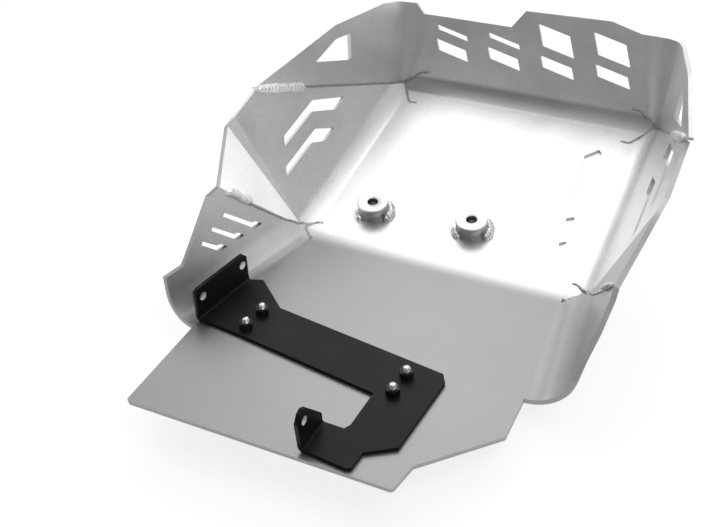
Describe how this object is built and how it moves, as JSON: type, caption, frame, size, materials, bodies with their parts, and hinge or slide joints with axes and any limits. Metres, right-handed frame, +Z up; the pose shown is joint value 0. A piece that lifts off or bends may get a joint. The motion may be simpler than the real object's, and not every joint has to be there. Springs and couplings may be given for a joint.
{
  "type": "motorcycle skid plate",
  "caption": "Folded aluminium engine skid plate: open tub with vented front, welded bosses, slotted walls and flaps, and a black steel bracket bolted to its tail.",
  "frame": {"origin": "centre of the floor's flat underside, on the centre line, halfway between the rear bend and the front corner", "axes": "+X to the plate's right, +Y forward to the vented front wall, +Z up into the tub"},
  "size_m": [0.3651, 0.526, 0.118],
  "materials": {
    "aluminium_sheet": "brushed",
    "aluminium_boss": "turned",
    "weld": "as welded",
    "black_steel": "satin black",
    "zinc_steel": "zinc plated",
    "black_nut": "black oxide"
  },
  "bodies": {
    "root": {"skid_plate": "aluminium_sheet", "boss_left": "aluminium_boss", "boss_right": "aluminium_boss", "boss_welds": "weld", "wing_seam_welds": "weld", "flap_seam_welds": "weld", "mounting_bracket": "black_steel", "bracket_screws": "zinc_steel", "bracket_nuts": "black_nut"}
  },
  "joints": []
}
